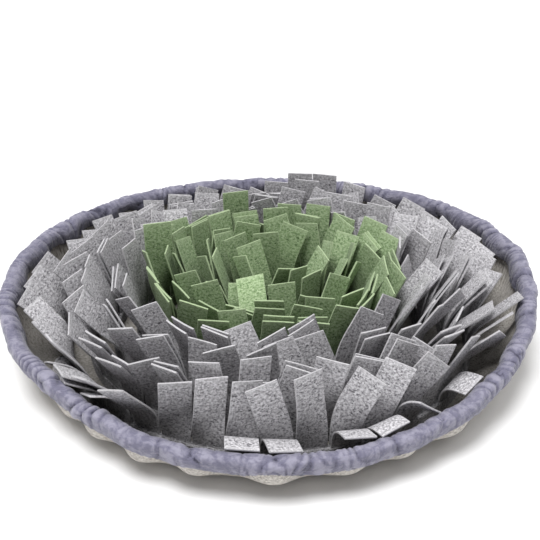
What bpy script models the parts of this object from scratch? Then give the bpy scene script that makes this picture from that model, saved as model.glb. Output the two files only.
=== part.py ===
"""A round snuffle mat: a felt base whose edge is drawn up by a gathered casing, and ten
rings of slit felt band, whose strips stand up from the base and lean on one another.

Metres, +Z up. The origin is on the floor under the middle of the mat, and the strips' ends
at the back, over the rim, are towards +Y. Azimuths are in degrees, from +X towards +Y."""

import math
import random
from collections import namedtuple

import bmesh
import bpy
from mathutils import Quaternion, Vector
from mathutils.bvhtree import BVHTree

MM = 0.001
GAP = 0.3 * MM  # between pieces that touch
UP = Vector((0, 0, 1))

# ---- the felt base and its casing ----

SEGMENTS = 96  # steps round the rim
BASE_THICK = 3.0 * MM
FLAT_RADIUS = 187 * MM  # of the part that lies on the floor
CASING_HEIGHT = 16 * MM  # from its hem to its top, where nothing lifts the hem
EDGE_BELOW_TOP = 6.5 * MM  # the felt's edge inside the casing
PINCH = 1.5 * MM  # how far the felt draws in between its bulges
PUFF = 2.5 * MM  # how far the hem stands off the felt between its bulges

# The line of the casing: its middle, and its top.
RimRow = namedtuple("RimRow", "azimuth radius top")
RIM = [
    RimRow(5, 219 * MM, 68 * MM),
    RimRow(20, 217 * MM, 67 * MM),
    RimRow(41, 214 * MM, 63 * MM),
    RimRow(58, 210 * MM, 59 * MM),
    RimRow(78, 209 * MM, 56 * MM),
    RimRow(96, 209 * MM, 55 * MM),
    RimRow(115, 210 * MM, 56 * MM),
    RimRow(131, 213 * MM, 57 * MM),
    RimRow(150, 215 * MM, 60 * MM),
    RimRow(171, 218 * MM, 62 * MM),
    RimRow(190, 219 * MM, 59 * MM),
    RimRow(208, 215 * MM, 52 * MM),
    RimRow(220, 208 * MM, 47 * MM),
    RimRow(232, 206 * MM, 42 * MM),
    RimRow(246, 208 * MM, 39 * MM),
    RimRow(262, 210 * MM, 38 * MM),
    RimRow(285, 211 * MM, 38 * MM),
    RimRow(298, 210 * MM, 39 * MM),
    RimRow(309, 210 * MM, 41 * MM),
    RimRow(321, 212 * MM, 44 * MM),
    RimRow(335, 215 * MM, 50 * MM),
    RimRow(348, 218 * MM, 60 * MM),
]

# The felt's wall, as it spreads from the flat part to the casing's line: its share of the
# casing's height, its share of the way out, and the share of each bulge that it takes.
WallRow = namedtuple("WallRow", "rise run sway")
WALL = [
    WallRow(0.0, 0.0, 0.0),
    WallRow(0.10, 0.32, 0.3),
    WallRow(0.26, 0.58, 1.0),
    WallRow(0.50, 0.80, 1.0),
]
EDGE_SWAY = 0.4  # the share of each bulge that the edge takes

# Where the gathered felt bulges out under the hem: half its width in degrees, how far out,
# and how far it lifts the hem.
FoldRow = namedtuple("FoldRow", "azimuth half_width bulge lift")
FOLDS = [
    FoldRow(8, 7, 5 * MM, 3 * MM),
    FoldRow(22, 6, 6 * MM, 4 * MM),
    FoldRow(37, 7, 7 * MM, 4 * MM),
    FoldRow(50, 6, 5 * MM, 3 * MM),
    FoldRow(63, 6, 6 * MM, 3 * MM),
    FoldRow(77, 7, 7 * MM, 5 * MM),
    FoldRow(92, 6, 6 * MM, 3 * MM),
    FoldRow(104, 6, 6 * MM, 4 * MM),
    FoldRow(118, 7, 7 * MM, 4 * MM),
    FoldRow(133, 7, 6 * MM, 5 * MM),
    FoldRow(147, 6, 5 * MM, 3 * MM),
    FoldRow(160, 6, 6 * MM, 4 * MM),
    FoldRow(174, 7, 6 * MM, 3 * MM),
    FoldRow(190, 7, 5 * MM, 3 * MM),
    FoldRow(206, 6, 5 * MM, 3 * MM),
    FoldRow(221, 5, 6 * MM, 3 * MM),
    FoldRow(231, 5, 7 * MM, 4 * MM),
    FoldRow(243, 6, 9 * MM, 5 * MM),
    FoldRow(255, 6, 7 * MM, 4 * MM),
    FoldRow(271, 8, 9 * MM, 6 * MM),
    FoldRow(286, 7, 6 * MM, 2 * MM),
    FoldRow(299, 6, 6 * MM, 2 * MM),
    FoldRow(312, 8, 9 * MM, 5 * MM),
    FoldRow(327, 7, 5 * MM, 3 * MM),
    FoldRow(341, 6, 5 * MM, 3 * MM),
    FoldRow(354, 6, 5 * MM, 3 * MM),
]

# The casing's section, from the hem's outer corner round the outside, down to the inner hem and
# back up inside: its distance from the felt's middle, and its share of the casing's height.
# The last column is the share of the puff that it takes.
CasingRow = namedtuple("CasingRow", "out up puff")
HEM_IN = 3.2 * MM
HEM_OUT = HEM_IN + 2.0 * MM
CASING = [
    CasingRow(HEM_OUT, 0.0, 1.0),
    CasingRow(6.9 * MM, 0.3, 0.6),
    CasingRow(6.8 * MM, 0.68, 0.2),
    CasingRow(3.6 * MM, 1.0, 0.0),
    CasingRow(-3.4 * MM, 1.0, 0.0),
    CasingRow(-6.8 * MM, 0.7, 0.0),
    CasingRow(-6.6 * MM, 0.3, 0.0),
    CasingRow(-HEM_OUT, 0.0, 0.0),
    CasingRow(-HEM_IN, 0.0, 0.0),
    CasingRow(-4.6 * MM, 0.32, 0.0),
    CasingRow(-4.8 * MM, 0.68, 0.0),
    CasingRow(0.0, 0.88, 0.0),
    CasingRow(4.8 * MM, 0.68, 0.2),
    CasingRow(4.7 * MM, 0.32, 0.6),
    CasingRow(HEM_IN, 0.0, 0.4),
]

# ---- the slit bands ----

STRIP_PITCH = 25.4 * MM
SLIT = 1.0 * MM  # left between two strips of a band
FELT = 1.4 * MM
LENGTH_SPREAD = 3 * MM  # of the strips, above the uncut edge
ROOT_HEIGHT = 12 * MM  # the uncut edge, folded and sewn down: two layers and their seam
ROOT_THICK = 6 * MM
MOST_STRIPS = 292
ROOM = 0.25 * MM  # kept round a strip
SHOULDER = 0.2 * MM  # the step in from the uncut edge to a strip's own outline
BAND_TURN = 137.5  # degrees from one band's first strip to the next band's

SEED = 20
TRIES = 120  # for each strip
STEPS = 3  # straight runs along a strip
POSED_STEPS = 4  # along one of those that stand out
SMOOTH_STEPS = 6  # of the rounder bend that a strip is also kept clear in
SPREAD = 5  # degrees that a strip may first be off the pose it is given
PARTNER_SPREAD = 2
PACKET = (1, 3)  # neighbours on a band that lean alike, at least and at most
# The most degrees that a packet may be off the pose of its zone. One packet is off outwards and
# the next one inwards, so that they can cross.
Packet = namedtuple("Packet", "out aside turn")
PACKET_SPREAD = Packet(11, 27, 22)
WIDER = 7.5  # how much the spread has grown by the last try, as a share of itself
TURN_SPREAD = 1.6  # the spread of a strip's turn, to that of its lean
SHORTER = 0.6  # twice the share of its length that a strip has lost by the last try
BENDS = (0.45, 0.8)  # the share of its length in which a strip bends, at least and at most

# A band's radius follows from its number of strips. The outer bands lie a little towards -Y,
# and the inner ones towards +Y.
RingRow = namedtuple("RingRow", "name strips colour partners shift")
RINGS = [
    RingRow("band_grey_1", 43, "grey", 0.5, -6 * MM),
    RingRow("band_grey_2", 38, "grey", 0.5, -4 * MM),
    RingRow("band_grey_3", 33, "grey", 0.5, -1 * MM),
    RingRow("band_grey_4", 28, "grey", 0.5, 2 * MM),
    RingRow("band_green_1", 24, "green", 0.5, 4 * MM),
    RingRow("band_green_2", 20, "green", 0.4, 5 * MM),
    RingRow("band_green_3", 16, "green", 0.4, 6 * MM),
    RingRow("band_green_4", 12, "green", 0.4, 6 * MM),
    RingRow("band_green_5", 8, "green", 0.3, 6 * MM),
    RingRow("band_green_6", 4, "green", 0.0, 6 * MM),
]

# How the strips lie, in three zones of the mat: the azimuth towards which a strip has fallen,
# how far from upright, how far its face has turned from the band's own line, and how long it is.
LeanRow = namedtuple("LeanRow", "azimuth toward lean turn length")
ZONES = [
    (174 * MM, [
        LeanRow(0, 15, 44, 25, 60 * MM),
        LeanRow(30, 38, 38, 12, 56 * MM),
        LeanRow(60, 58, 26, 6, 53 * MM),
        LeanRow(82, 88, 8, 4, 51 * MM),
        LeanRow(105, 100, 14, -7, 48 * MM),
        LeanRow(130, 136, 24, -8, 47 * MM),
        LeanRow(155, 152, 34, -16, 52 * MM),
        LeanRow(180, 165, 40, -36, 56 * MM),
        LeanRow(202, 185, 44, -44, 57 * MM),
        LeanRow(220, 215, 44, 0, 52 * MM),
        LeanRow(240, 236, 28, 10, 54 * MM),
        LeanRow(256, 150, 8, 14, 56 * MM),
        LeanRow(275, 85, 8, -4, 58 * MM),
        LeanRow(295, 60, 14, -6, 60 * MM),
        LeanRow(312, 350, 20, -8, 58 * MM),
        LeanRow(328, 345, 38, 14, 56 * MM),
        LeanRow(345, 358, 46, 14, 63 * MM),
    ]),
    (128 * MM, [
        LeanRow(0, 10, 28, 25, 66 * MM),
        LeanRow(30, 36, 26, 8, 66 * MM),
        LeanRow(60, 60, 18, 2, 63 * MM),
        LeanRow(90, 90, 12, 0, 61 * MM),
        LeanRow(110, 105, 14, -7, 60 * MM),
        LeanRow(130, 128, 18, -12, 60 * MM),
        LeanRow(150, 146, 22, -12, 62 * MM),
        LeanRow(170, 168, 20, -8, 64 * MM),
        LeanRow(190, 180, 20, -10, 66 * MM),
        LeanRow(206, 192, 26, -40, 62 * MM),
        LeanRow(226, 216, 18, 5, 62 * MM),
        LeanRow(250, 240, 6, 10, 62 * MM),
        LeanRow(268, 90, 5, 14, 62 * MM),
        LeanRow(290, 100, 6, -12, 62 * MM),
        LeanRow(312, 335, 16, -16, 64 * MM),
        LeanRow(332, 350, 28, 14, 66 * MM),
    ]),
    (45 * MM, [
        LeanRow(0, 12, 30, 20, 62 * MM),
        LeanRow(30, 32, 26, 0, 62 * MM),
        LeanRow(60, 65, 16, 10, 62 * MM),
        LeanRow(90, 90, 12, 0, 62 * MM),
        LeanRow(120, 115, 12, -5, 62 * MM),
        LeanRow(150, 150, 18, 15, 62 * MM),
        LeanRow(180, 180, 26, 32, 62 * MM),
        LeanRow(210, 195, 18, 28, 58 * MM),
        LeanRow(240, 250, 8, 20, 52 * MM),
        LeanRow(270, 90, 4, 0, 52 * MM),
        LeanRow(300, 340, 8, -15, 56 * MM),
        LeanRow(330, 355, 26, 5, 60 * MM),
    ]),
]

# Between two azimuths, strips of the outermost band fall out over the wall, below the others: how
# far aside from straight outwards, how far over, and what share of the places has one.
LyingRow = namedtuple("LyingRow", "first last aside lean length share")
LYING = [
    LyingRow(190, 250, -22, 80, 40 * MM, 1.0),
    LyingRow(250, 350, 4, 94, 38 * MM, 0.8),
]
LYING_BENDS = (0.6, 0.9)
LYING_SPREAD = 15  # degrees

# Strips that stand out, each at the place on its band that is nearest to the azimuth: curled
# ones bend all the way up, and the two in the middle lie down over their neighbours.
PoseRow = namedtuple("PoseRow", "ring azimuth toward lean turn bend length")
POSES = [
    PoseRow("band_grey_1", 281, 276, 135, -4, 1.0, 50 * MM),
    PoseRow("band_grey_1", 79, 84, 3, 2, 0.5, 65 * MM),
    PoseRow("band_grey_1", 70, 92, 4, 5, 0.5, 66 * MM),
    PoseRow("band_grey_1", 61, 30, 9, -8, 0.5, 60 * MM),
    PoseRow("band_grey_2", 72, 80, 4, 4, 0.5, 66 * MM),
    PoseRow("band_green_1", 106, 102, 8, -6, 0.5, 74 * MM),
    PoseRow("band_green_1", 170, 100, 6, -62, 0.5, 78 * MM),
    PoseRow("band_green_4", 262, 98, 62, 8, 0.55, 64 * MM),
    PoseRow("band_green_6", 0, 40, 62, -30, 0.6, 60 * MM),
]


def eased(share):
    return share * share * (3 - 2 * share)


def bracket(rows, azimuth):
    """The two rows on either side of an azimuth, and how far it is from the first to the second."""
    azimuth %= 360
    after = next((i for i, row in enumerate(rows) if row.azimuth > azimuth), 0)
    low, high = rows[after - 1], rows[after]
    share = ((azimuth - low.azimuth) % 360) / ((high.azimuth - low.azimuth) % 360)
    return low, high, eased(share)


def around(rows, column, azimuth):
    low, high, share = bracket(rows, azimuth)
    return getattr(low, column) * (1 - share) + getattr(high, column) * share


def bump(fold, azimuth):
    """1 at the middle of a fold, and 0 past its sides."""
    away = abs((azimuth - fold.azimuth + 180) % 360 - 180) / fold.half_width
    return math.cos(away * math.pi / 2) ** 2 if away < 1 else 0.0


def fold_sum(column, azimuth):
    return sum(getattr(fold, column) * bump(fold, azimuth) for fold in FOLDS)


def fullness(azimuth):
    return min(1.0, sum(bump(fold, azimuth) for fold in FOLDS))


def polar(radius, azimuth, height):
    angle = math.radians(azimuth)
    return Vector((radius * math.cos(angle), radius * math.sin(angle), height))


def wall_line(azimuth):
    """The middle of the felt's wall, as (radius, height) from the floor to its edge."""
    radius, top = around(RIM, "radius", azimuth), around(RIM, "top", azimuth)
    wave = fold_sum("bulge", azimuth) - PINCH
    low = BASE_THICK / 2
    span = radius - FLAT_RADIUS
    line = [
        (FLAT_RADIUS + span * row.run + wave * row.sway, low + row.rise * top) for row in WALL
    ]
    return line + [(radius + wave * EDGE_SWAY, top - EDGE_BELOW_TOP)]


def felt_radius(azimuth, height):
    """The radius of the wall's middle at a height. Its last slope carries on above its edge."""
    line = wall_line(azimuth)
    pairs = list(zip(line, line[1:]))
    (r_low, z_low), (r_high, z_high) = next((p for p in pairs if height <= p[1][1]), pairs[-1])
    return r_low + (r_high - r_low) * (height - z_low) / (z_high - z_low)


def offset_line(line, distance):
    """The line moved sideways, away from the mat's axis for a distance over 0."""
    moved = []
    for i, (radius, height) in enumerate(line):
        before, after = line[max(i - 1, 0)], line[min(i + 1, len(line) - 1)]
        run, rise = after[0] - before[0], after[1] - before[1]
        size = math.hypot(run, rise)
        moved.append((radius + distance * rise / size, height - distance * run / size))
    return moved


def base_section(azimuth):
    """The felt's outline beyond its flat middle: out along the underside, and back on top."""
    line = wall_line(azimuth)
    under = offset_line(line, BASE_THICK / 2)
    over = offset_line(line, -BASE_THICK / 2)
    under[0], over[0] = (line[0][0], 0.0), (line[0][0], BASE_THICK)
    return under + over[::-1]


def casing_section(azimuth):
    top = around(RIM, "top", azimuth)
    height = CASING_HEIGHT - fold_sum("lift", azimuth)
    puff = PUFF * (1 - fullness(azimuth))
    points = []
    for row in CASING:
        z = top - height * (1 - row.up)
        points.append((felt_radius(azimuth, z) + row.out + puff * row.puff, z))
    return points


def swept(section, closed):
    """A mesh with the section at each step round the axis. An open one ends in two discs."""
    mesh = bmesh.new()
    loops = []
    for step in range(SEGMENTS):
        azimuth = 360 * step / SEGMENTS
        loops.append([mesh.verts.new(polar(r, azimuth, z)) for r, z in section(azimuth)])
    count = len(loops[0])
    for here, there in zip(loops, loops[1:] + loops[:1]):
        for i in range(count if closed else count - 1):
            j = (i + 1) % count
            mesh.faces.new((here[i], there[i], there[j], here[j]))
    if not closed:
        mesh.faces.new([loop[0] for loop in reversed(loops)])
        mesh.faces.new([loop[-1] for loop in loops])
    bmesh.ops.recalc_face_normals(mesh, faces=mesh.faces)
    return mesh


# ---- strips ----

Strip = namedtuple("Strip", "cell layer width spine tilt bend length")


def apothem(ring):
    """The radius of a band, from its axis to the middle of each strip's root."""
    return STRIP_PITCH / 2 / math.tan(math.pi / ring.strips)


def cell_azimuth(ring, cell):
    return BAND_TURN * RINGS.index(ring) + 360 * (cell + 0.5) / ring.strips


def root_of(ring, cell, layer):
    """Where a strip leaves its band's uncut edge, and its width there. Layer 0 is the outer one."""
    shift = ROOT_THICK / 4 * (1 - 2 * layer)
    radius = apothem(ring) + shift
    room = 2 * (radius - FELT / 2) * math.tan(math.pi / ring.strips)
    place = polar(radius, cell_azimuth(ring, cell), BASE_THICK + GAP + ROOT_HEIGHT)
    place.y += ring.shift
    return place, min(room, STRIP_PITCH) - SLIT


def turned(azimuth, toward, lean, turn):
    """The turn of a strip's end: its width, its thickness outwards and its length are x, y and z."""
    upright = Quaternion(UP, math.radians(azimuth + turn - 90))
    axis = UP.cross(polar(1, toward, 0))
    return Quaternion(axis, math.radians(lean)) @ upright


def spine_of(root, start, end, length, bend, steps):
    """Places and turns along a strip that stands up from its root and has turned by bend."""
    parts = 12
    place, spine = root.copy(), [(root.copy(), start)]
    for part in range(parts):
        middle = start.slerp(end, eased(min(1.0, (part + 0.5) / parts / bend)))
        place = place + middle @ Vector((0, 0, length / parts))
        if (part + 1) * steps % parts == 0:
            turn = start.slerp(end, eased(min(1.0, (part + 1) / parts / bend)))
            spine.append((place.copy(), turn))
    return spine


def corners(place, turn, half_width, half_thick):
    signs = ((-1, -1), (1, -1), (1, 1), (-1, 1))
    return [place + turn @ Vector((a * half_width, b * half_thick, 0)) for a, b in signs]


def tree_of(spines, width, room):
    """The strip's surface, with some room round it, for finding what it would run into. Each side
    of each bend is there split both ways, because it is a little twisted."""
    points, faces = [], []
    for spine in spines:
        first = len(points)
        for place, turn in spine:
            points += corners(place, turn, width / 2 + room, FELT / 2 + room)
        for at in range(first, len(points) - 4, 4):
            for i in range(4):
                j = (i + 1) % 4
                low, high = (at + i, at + j), (at + 4 + i, at + 4 + j)
                faces += [(*low, high[0]), (*low, high[1]), (*high, low[0]), (*high, low[1])]
        faces += [tuple(first + i for i in (3, 2, 1, 0)), tuple(range(len(points) - 4, len(points)))]
    return BVHTree.FromPolygons(points, faces)


class Heap:
    """What has been placed so far: each thing's surface, the middle of it and its reach."""

    def __init__(self, solids):
        self.solids = solids
        self.things = []

    def add(self, tree, middle, reach):
        self.things.append((tree, middle, reach))

    def free(self, tree, middle, reach):
        if any(tree.overlap(solid) for solid in self.solids):
            return False
        for other, centre, size in self.things:
            if (centre - middle).length < reach + size and tree.overlap(other):
                return False
        return True


Pose = namedtuple("Pose", "tilt length")


def mixed(pose, other, share):
    return Pose(pose.tilt.lerp(other.tilt, share), pose.length + (other.length - pose.length) * share)


def zone_pose(radius, azimuth):
    """The tilt as a vector, the turn and the length that the zones' tables give at a place."""
    found = []
    for _, rows in ZONES:
        low, high, share = bracket(rows, azimuth)
        poses = [Pose(polar(row.lean, row.toward, row.turn), row.length) for row in (low, high)]
        found.append(mixed(*poses, share))
    radii = [zone for zone, _ in ZONES]
    for outer in range(len(radii) - 1):
        if radius > radii[outer + 1]:
            share = (radius - radii[outer + 1]) / (radii[outer] - radii[outer + 1])
            return mixed(found[outer + 1], found[outer], min(1.0, share))
    return found[-1]


def try_strip(heap, ring, cell, layer, tilt, bend, length, steps):
    """The strip at this pose if it runs into nothing, and None otherwise."""
    root, width = root_of(ring, cell, layer)
    azimuth = cell_azimuth(ring, cell)
    lean, toward, turn = tilt.xy.length, math.degrees(math.atan2(tilt.y, tilt.x)), tilt.z
    start = turned(azimuth, azimuth, 0, 0)
    end = turned(azimuth, toward, lean, turn)
    spine = spine_of(root, start, end, length, bend, steps)
    smooth = spine_of(root, start, end, length, bend, SMOOTH_STEPS)
    middle = (spine[0][0] + spine[-1][0]) / 2
    reach = max((place - middle).length for place, _ in spine) + width / 2
    if not heap.free(tree_of((spine, smooth), width, ROOM), middle, reach):
        return None
    heap.add(tree_of((spine, smooth), width, 0.0), middle, reach)
    return Strip(cell, layer, width, spine, tilt, bend, length)


def find_strip(heap, rng, ring, cell, layer, pose, bends, spread):
    """Tries poses ever further from the wanted one. The later half are for a shorter strip."""
    for attempt in range(TRIES):
        done = attempt / TRIES
        wide = spread * (1 + WIDER * done)
        jitter = Vector([rng.uniform(-1, 1) * wide for _ in range(3)])
        jitter.z *= TURN_SPREAD
        length = pose.length + rng.uniform(-1, 1) * LENGTH_SPREAD
        length *= 1 - SHORTER * max(0.0, done - 0.5)
        bend = rng.uniform(*bends)
        strip = try_strip(heap, ring, cell, layer, pose.tilt + jitter, bend, length, STEPS)
        if strip:
            return strip
    return None


def packets(rng, ring):
    """Each strip of a band: how far its packet is off the pose of its zone, and its layer."""
    cells, layer = [], 0
    while len(cells) < ring.strips:
        layer = 1 - layer
        out = rng.uniform(0.2, 1) * PACKET_SPREAD.out * (1 - 2 * layer)
        aside, turn = rng.uniform(-1, 1) * PACKET_SPREAD.aside, rng.uniform(-1, 1) * PACKET_SPREAD.turn
        cells += [(Packet(out, aside, turn), layer)] * rng.randint(*PACKET)
    return cells[: ring.strips]


def put_off(pose, offset, azimuth):
    aside = polar(offset.aside, azimuth + 90, offset.turn)
    return Pose(pose.tilt + polar(offset.out, azimuth, 0) + aside, pose.length)


def lying_row(ring, cell):
    azimuth = cell_azimuth(ring, cell) % 360
    rows = LYING if ring is RINGS[0] else ()
    return next((row for row in rows if row.first < azimuth < row.last), None)


def partner_of(heap, rng, ring, strip):
    """A second strip from the same place: beside the first, or fallen out over the wall."""
    row = lying_row(ring, strip.cell)
    if rng.random() > (row.share if row else ring.partners):
        return None
    pose, bends, spread = Pose(strip.tilt, strip.length), (strip.bend, strip.bend), PARTNER_SPREAD
    if row:
        toward = cell_azimuth(ring, strip.cell) + row.aside
        pose = Pose(polar(row.lean, toward, 0), row.length)
        bends, spread = LYING_BENDS, LYING_SPREAD
    return find_strip(heap, rng, ring, strip.cell, 1 - strip.layer, pose, bends, spread)


def placed_strips(solids):
    """Every strip of every band, by the band's name. Bands are filled from the rim inwards."""
    rng = random.Random(SEED)
    heap = Heap(solids)
    placed = {ring.name: [] for ring in RINGS}
    rings = {ring.name: ring for ring in RINGS}
    taken = set()
    for row in POSES:
        ring = rings[row.ring]
        cell = round((row.azimuth - cell_azimuth(ring, 0)) % 360 * ring.strips / 360) % ring.strips
        tilt = polar(row.lean, row.toward, row.turn)
        strip = try_strip(heap, ring, cell, 0, tilt, row.bend, row.length, POSED_STEPS)
        if strip:
            placed[ring.name].append(strip)
            taken.add((ring.name, cell))
    spare = MOST_STRIPS - sum(ring.strips for ring in RINGS)
    for ring in RINGS:
        for cell, (offset, layer) in enumerate(packets(rng, ring)):
            if (ring.name, cell) in taken:
                continue
            azimuth = cell_azimuth(ring, cell)
            pose = put_off(zone_pose(apothem(ring), azimuth), offset, azimuth)
            layer = 1 if lying_row(ring, cell) else layer
            strip = find_strip(heap, rng, ring, cell, layer, pose, BENDS, SPREAD)
            if not strip:
                continue
            placed[ring.name].append(strip)
            partner = partner_of(heap, rng, ring, strip) if spare else None
            if partner:
                placed[ring.name].append(partner)
                spare -= 1
    return placed


# ---- bands ----


def root_mesh(ring):
    """A band's uncut edge, as a ring of straight runs, and its top faces by cell and layer."""
    mesh = bmesh.new()
    low, high = BASE_THICK + GAP, BASE_THICK + GAP + ROOT_HEIGHT
    half = ROOT_THICK / 2
    section = ((half, low), (half, high), (0, high), (-half, high), (-half, low))
    stretch = 1 / math.cos(math.pi / ring.strips)
    loops = []
    for cell in range(ring.strips):
        azimuth = cell_azimuth(ring, cell - 0.5)
        points = [polar((apothem(ring) + r) * stretch, azimuth, z) for r, z in section]
        loops.append([mesh.verts.new(point + Vector((0, ring.shift, 0))) for point in points])
    tops = {}
    for cell, here in enumerate(loops):
        there = loops[(cell + 1) % ring.strips]
        for i in range(len(section)):
            j = (i + 1) % len(section)
            face = mesh.faces.new((here[i], there[i], there[j], here[j]))
            if i in (1, 2):
                tops[cell, i - 1] = face
    bmesh.ops.recalc_face_normals(mesh, faces=mesh.faces)
    return mesh, tops


def bearing(vector):
    return math.atan2(vector.y, vector.x)


def grow(mesh, face, strip):
    """Builds a strip up from its face on top of the uncut edge. Its two wide sides are a little
    twisted, so both are split along the same diagonal, which keeps the felt's thickness."""
    bmesh.ops.inset_individual(mesh, faces=[face], thickness=SHOULDER)
    rings = [corners(place, turn, strip.width / 2, FELT / 2) for place, turn in strip.spine]
    place, turn = strip.spine[0]
    low = sorted(face.verts, key=lambda vert: bearing(turn.inverted() @ (vert.co - place)))
    mesh.faces.remove(face)
    for vert, corner in zip(low, rings[0]):
        vert.co = corner
    for ring in rings[1:]:
        high = [mesh.verts.new(corner) for corner in ring]
        for i in range(4):
            a, b, c, d = low[i], low[(i + 1) % 4], high[(i + 1) % 4], high[i]
            for triangle in ((a, b, c), (a, c, d)) if i < 2 else ((a, b, d), (b, c, d)):
                mesh.faces.new(triangle)
        low = high
    mesh.faces.new(low)


def band_mesh(ring, strips):
    mesh, tops = root_mesh(ring)
    for strip in strips:
        grow(mesh, tops[strip.cell, strip.layer], strip)
    return mesh


# ---- materials and objects ----

FINISHES = {
    "base": ("felt_base", (0.60, 0.56, 0.50), 0.95),
    "casing": ("casing_cloth", (0.20, 0.20, 0.31), 0.55),
    "grey": ("felt_heather_grey", (0.40, 0.39, 0.41), 0.95),
    "green": ("felt_sage_green", (0.24, 0.34, 0.18), 0.95),
}


def finish(key):
    name, colour, roughness = FINISHES[key]
    made = bpy.data.materials.get(name)
    if made:
        return made
    made = bpy.data.materials.new(name)
    made.use_nodes = True
    made.diffuse_color = (*colour, 1)
    shader = made.node_tree.nodes["Principled BSDF"]
    shader.inputs["Base Color"].default_value = (*colour, 1)
    shader.inputs["Roughness"].default_value = roughness
    shader.inputs["Metallic"].default_value = 0.0
    return made


def add_object(name, mesh, key, collection):
    data = bpy.data.meshes.new(name)
    mesh.to_mesh(data)
    mesh.free()
    data.materials.append(finish(key))
    made = bpy.data.objects.new(name, data)
    collection.objects.link(made)
    return made


def main():
    for old in list(bpy.data.objects):
        bpy.data.objects.remove(old, do_unlink=True)
    collection = bpy.data.collections.new("snuffle_mat")
    bpy.context.scene.collection.children.link(collection)

    base = swept(base_section, closed=False)
    casing = swept(casing_section, closed=True)
    strips = placed_strips([BVHTree.FromBMesh(base), BVHTree.FromBMesh(casing)])

    base_object = add_object("base", base, "base", collection)
    casing_object = add_object("rim_casing", casing, "casing", collection)
    for made in (base_object, casing_object):
        made.data.shade_smooth()
    for ring in RINGS:
        add_object(ring.name, band_mesh(ring, strips[ring.name]), ring.colour, collection)


main()
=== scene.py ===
"""The looks of a round snuffle mat: a felt dish with a gathered cloth casing round its rim, filled
with rings of slit felt band.

Metres, +Z up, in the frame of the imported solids. The tables and the way the strips are placed
repeat those of the solids, so that each strip here lies where its solid does. The strips' surfaces,
the felt's folds, the casing's creases and all the finishes are added here."""

import math
import random
from collections import namedtuple

import bmesh
import bpy
import numpy as np
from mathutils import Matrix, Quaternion, Vector
from mathutils.bvhtree import BVHTree


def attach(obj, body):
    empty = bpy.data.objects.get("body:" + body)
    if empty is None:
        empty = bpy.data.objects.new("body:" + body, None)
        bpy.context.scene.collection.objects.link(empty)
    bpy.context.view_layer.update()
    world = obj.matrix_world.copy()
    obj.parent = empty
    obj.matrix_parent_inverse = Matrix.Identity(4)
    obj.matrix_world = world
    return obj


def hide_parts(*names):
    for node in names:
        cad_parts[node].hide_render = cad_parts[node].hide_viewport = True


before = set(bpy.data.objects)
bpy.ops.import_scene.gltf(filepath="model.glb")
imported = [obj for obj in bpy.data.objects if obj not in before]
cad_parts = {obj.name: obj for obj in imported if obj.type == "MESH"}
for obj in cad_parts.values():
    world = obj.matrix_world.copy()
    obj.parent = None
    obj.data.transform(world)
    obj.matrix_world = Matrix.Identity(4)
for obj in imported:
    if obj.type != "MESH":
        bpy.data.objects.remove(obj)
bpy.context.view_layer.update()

MM = 0.001
GAP = 0.3 * MM  # between pieces that touch
UP = Vector((0, 0, 1))


def table(row_type, lengths, rows):
    """Named rows. Their last columns, as many as lengths says, are given in millimetres."""
    return [row_type(*row[:-lengths], *[value * MM for value in row[-lengths:]]) for row in rows]


# ---- the felt base and its casing ----

SEGMENTS = 96  # steps round the rim
BASE_THICK = 3.0 * MM
FLAT_RADIUS = 187 * MM  # of the part that lies on the floor
CASING_HEIGHT = 16 * MM  # from its hem to its top, where nothing lifts the hem
EDGE_BELOW_TOP = 6.5 * MM  # the felt's edge inside the casing
PINCH = 1.5 * MM  # how far the felt draws in between its bulges
PUFF = 2.5 * MM  # how far the hem stands off the felt between its bulges

# The line of the casing: its middle, and its top.
RimRow = namedtuple("RimRow", "azimuth radius top")
RIM = table(RimRow, 2, [
    (5, 219, 68),
    (20, 217, 67),
    (41, 214, 63),
    (58, 210, 59),
    (78, 209, 56),
    (96, 209, 55),
    (115, 210, 56),
    (131, 213, 57),
    (150, 215, 60),
    (171, 218, 62),
    (190, 219, 59),
    (208, 215, 52),
    (220, 208, 47),
    (232, 206, 42),
    (246, 208, 39),
    (262, 210, 38),
    (285, 211, 38),
    (298, 210, 39),
    (309, 210, 41),
    (321, 212, 44),
    (335, 215, 50),
    (348, 218, 60),
])

# The felt's wall, as it spreads from the flat part to the casing's line: its share of the
# casing's height, its share of the way out, and the share of each bulge that it takes.
WallRow = namedtuple("WallRow", "rise run sway")
WALL = [
    WallRow(0.0, 0.0, 0.0),
    WallRow(0.10, 0.32, 0.3),
    WallRow(0.26, 0.58, 1.0),
    WallRow(0.50, 0.80, 1.0),
]
EDGE_SWAY = 0.4  # the share of each bulge that the edge takes

# Where the gathered felt bulges out under the hem: half its width in degrees, how far out,
# and how far it lifts the hem.
FoldRow = namedtuple("FoldRow", "azimuth half_width bulge lift")
FOLDS = table(FoldRow, 2, [
    (8, 7, 5, 3),
    (22, 6, 6, 4),
    (37, 7, 7, 4),
    (50, 6, 5, 3),
    (63, 6, 6, 3),
    (77, 7, 7, 5),
    (92, 6, 6, 3),
    (104, 6, 6, 4),
    (118, 7, 7, 4),
    (133, 7, 6, 5),
    (147, 6, 5, 3),
    (160, 6, 6, 4),
    (174, 7, 6, 3),
    (190, 7, 5, 3),
    (206, 6, 5, 3),
    (221, 5, 6, 3),
    (231, 5, 7, 4),
    (243, 6, 9, 5),
    (255, 6, 7, 4),
    (271, 8, 9, 6),
    (286, 7, 6, 2),
    (299, 6, 6, 2),
    (312, 8, 9, 5),
    (327, 7, 5, 3),
    (341, 6, 5, 3),
    (354, 6, 5, 3),
])

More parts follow.
